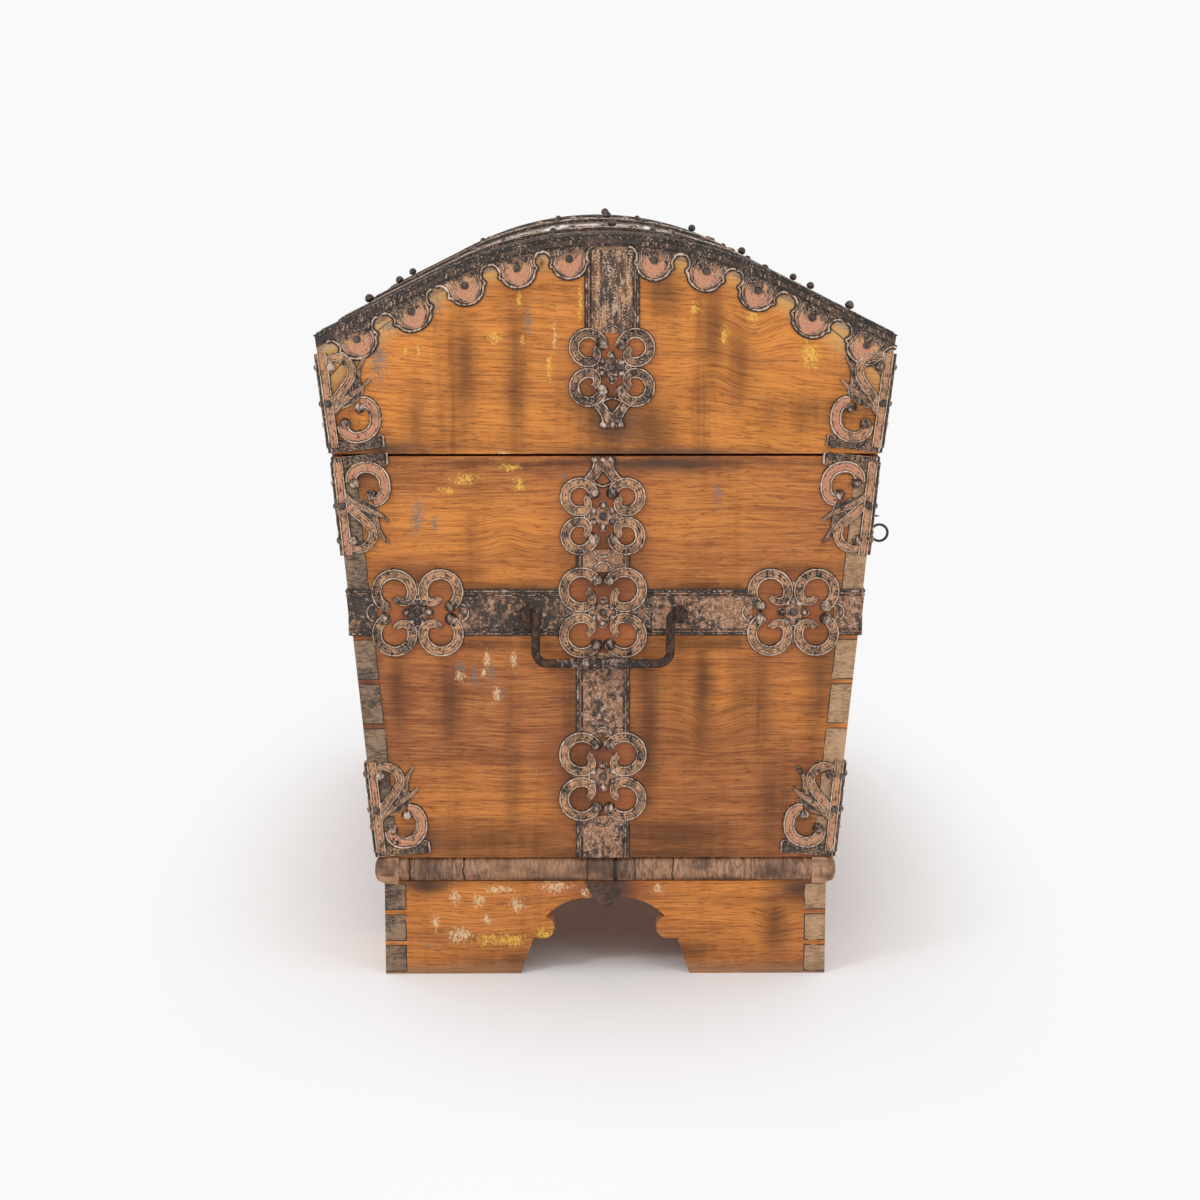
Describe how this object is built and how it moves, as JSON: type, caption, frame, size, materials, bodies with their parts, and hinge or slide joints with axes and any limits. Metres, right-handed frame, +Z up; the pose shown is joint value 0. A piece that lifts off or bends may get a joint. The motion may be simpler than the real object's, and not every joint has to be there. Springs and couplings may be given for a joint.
{
  "type": "coffer chest",
  "caption": "Domed oak coffer on an arched plinth, with dovetailed tapering sides, pierced scrolled iron straps, lobed lid edging, bail handles, lock and key",
  "frame": {"origin": "on the floor under the middle of the body", "axes": "+X runs along the chest to its right end seen from the front, -Y faces the front with the lock, +Z up"},
  "size_m": [1.25, 0.7134, 0.8495],
  "materials": {
    "oak": "satin",
    "dark_veneer": "satin",
    "wrought_iron": "satin",
    "nail_iron": "polished"
  },
  "bodies": {
    "carcass": {"front_board": "oak", "back_board": "oak", "left_end_lower_board": "oak", "left_end_upper_board": "oak", "right_end_lower_board": "oak", "right_end_upper_board": "oak", "bottom_board_1": "oak", "bottom_board_2": "oak", "bottom_board_3": "oak", "base_moulding_front": "dark_veneer", "base_moulding_back": "dark_veneer", "base_moulding_left": "dark_veneer", "base_moulding_right": "dark_veneer", "plinth_front": "oak", "plinth_back": "oak", "plinth_left": "oak", "plinth_right": "oak", "plinth_corner_blocks": "oak", "plinth_pendants": "oak", "left_end_strap": "wrought_iron", "right_end_strap": "wrought_iron", "upper_corner_mounts": "wrought_iron", "lower_corner_mounts": "wrought_iron", "left_cross_strap_front": "wrought_iron", "left_cross_strap_back": "wrought_iron", "right_cross_strap_front": "wrought_iron", "right_cross_strap_back": "wrought_iron", "front_strap_left": "wrought_iron", "front_strap_right": "wrought_iron", "hinge_strap_left": "wrought_iron", "hinge_strap_right": "wrought_iron", "handle_eyes": "wrought_iron", "lock_escutcheon": "wrought_iron", "hinge_pins": "nail_iron", "lock_case": "nail_iron", "carcass_nails": "nail_iron"},
    "lid": {"lid_front_rail": "oak", "lid_back_rail": "oak", "lid_left_end": "oak", "lid_right_end": "oak", "lid_front_flank": "oak", "lid_back_flank": "oak", "lid_crown_stave_1": "oak", "lid_crown_stave_2": "oak", "lid_crown_stave_3": "oak", "left_lid_edging": "wrought_iron", "right_lid_edging": "wrought_iron", "left_lid_end_strap": "wrought_iron", "right_lid_end_strap": "wrought_iron", "lid_strap_left": "wrought_iron", "lid_strap_right": "wrought_iron", "lid_corner_mounts": "wrought_iron", "lock_staple": "wrought_iron", "lid_nails": "nail_iron"},
    "left_handle": {"left_bail": "wrought_iron"},
    "right_handle": {"right_bail": "wrought_iron"},
    "key_body": {"key": "nail_iron"},
    "bolt_body": {"lock_bolt": "nail_iron"}
  },
  "joints": [
    {"name": "lid_hinge", "type": "hinge", "parent": "carcass", "child": "lid", "pos_m": [0, 0.3145, 0.6015], "axis": [-1, 0, 0], "range_deg": [0, 100]},
    {"name": "left_handle_swing", "type": "hinge", "parent": "carcass", "child": "left_handle", "pos_m": [-0.615, 0.003, 0.424], "axis": [0, 1, 0], "range_deg": [0, 165]},
    {"name": "right_handle_swing", "type": "hinge", "parent": "carcass", "child": "right_handle", "pos_m": [0.615, 0.003, 0.424], "axis": [0, -1, 0], "range_deg": [0, 165]},
    {"name": "key_turn", "type": "hinge", "parent": "carcass", "child": "key_body", "pos_m": [0, -0.28818, 0.438], "axis": [0, -0.9956, -0.0941], "range_deg": [0, 360]},
    {"name": "bolt_throw", "type": "slide", "parent": "carcass", "child": "bolt_body", "axis": [1, 0, 0], "range_m": [0, 0.02]}
  ],
  "couplings": [
    {"joint": "key_turn", "follows": "bolt_throw", "rad_per_m": 314.16}
  ]
}
